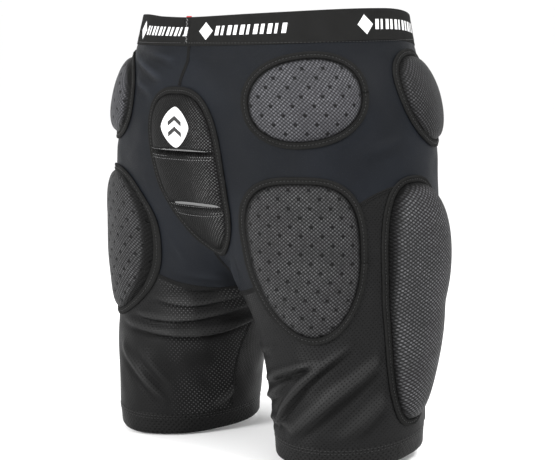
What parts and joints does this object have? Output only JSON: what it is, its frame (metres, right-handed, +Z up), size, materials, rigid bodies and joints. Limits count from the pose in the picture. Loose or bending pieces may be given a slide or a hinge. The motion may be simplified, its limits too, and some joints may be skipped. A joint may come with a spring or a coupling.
{
  "type": "padded impact shorts",
  "caption": "Close-fitting protective shorts with an elastic waistband, stretch hip panels, mesh legs and bound foam pads over the seat, tailbone, hips, thighs and sides.",
  "frame": {"origin": "centre of the waist opening, level with the waistband's top edge", "axes": "+Z up and out of the waist opening, +Y the way the wearer faces, +X towards the wearer's right"},
  "size_m": [0.4102, 0.2399, 0.4136],
  "materials": {
    "elastic": "matte",
    "stretch_fabric": "satin",
    "leg_mesh": "matte",
    "hem": "matte",
    "foam": "matte",
    "spacer_mesh": "matte",
    "binding": "matte",
    "black_label": "satin",
    "white_label": "satin",
    "red_tab": "satin"
  },
  "bodies": {
    "pelvis": {"back_panel_left": "stretch_fabric", "back_panel_right": "stretch_fabric", "front_panel_left": "stretch_fabric", "front_panel_right": "stretch_fabric", "hip_pad_binding_left": "binding", "hip_pad_binding_right": "binding", "hip_pad_cover_left": "spacer_mesh", "hip_pad_cover_right": "spacer_mesh", "hip_pad_foam_left": "foam", "hip_pad_foam_right": "foam", "label_tab": "red_tab", "seat_pad_binding_left": "binding", "seat_pad_binding_right": "binding", "seat_pad_cover_left": "spacer_mesh", "seat_pad_cover_right": "spacer_mesh", "seat_pad_foam_left": "foam", "seat_pad_foam_right": "foam", "tail_pad_binding": "binding", "tail_pad_cover": "spacer_mesh", "tail_pad_foam_lower": "foam", "tail_pad_foam_middle": "foam", "tail_pad_foam_upper": "foam", "waistband": "elastic", "waistband_join": "elastic"},
    "leg_right": {"back_leg_mesh_right": "leg_mesh", "front_leg_mesh_right": "leg_mesh", "hem_right": "hem", "side_pad_binding_right": "binding", "side_pad_cover_right": "spacer_mesh", "side_pad_foam_right": "foam", "thigh_pad_binding_right": "binding", "thigh_pad_cover_right": "spacer_mesh", "thigh_pad_foam_right": "foam"},
    "leg_left": {"back_leg_mesh_left": "leg_mesh", "front_leg_mesh_left": "leg_mesh", "hem_left": "hem", "side_pad_binding_left": "binding", "side_pad_cover_left": "spacer_mesh", "side_pad_foam_left": "foam", "thigh_pad_binding_left": "binding", "thigh_pad_cover_left": "spacer_mesh", "thigh_pad_foam_left": "foam"},
    "flag_label": {"flag_label": "black_label"},
    "size_label": {"size_label": "white_label"}
  },
  "joints": [
    {"name": "hip_right", "type": "hinge", "parent": "pelvis", "child": "leg_right", "pos_m": [0.095, -0.006, -0.195], "axis": [1, 0, 0], "range_deg": [-10, 45], "stiffness_Nm_per_rad": 0.6, "deforming": ["back_panel_right", "front_panel_right"]},
    {"name": "hip_left", "type": "hinge", "parent": "pelvis", "child": "leg_left", "pos_m": [-0.095, -0.006, -0.195], "axis": [1, 0, 0], "range_deg": [-10, 45], "stiffness_Nm_per_rad": 0.6, "deforming": ["back_panel_left", "front_panel_left"]},
    {"name": "flag_label_hinge", "type": "hinge", "parent": "leg_right", "child": "flag_label", "pos_m": [0.16037, 0.05049, -0.32157], "axis": [0, 0, 1], "range_deg": [-90, 10]},
    {"name": "size_label_hinge", "type": "hinge", "parent": "pelvis", "child": "size_label", "pos_m": [0, -0.10445, -0.0062], "axis": [1, 0, 0], "range_deg": [0, 60]}
  ]
}
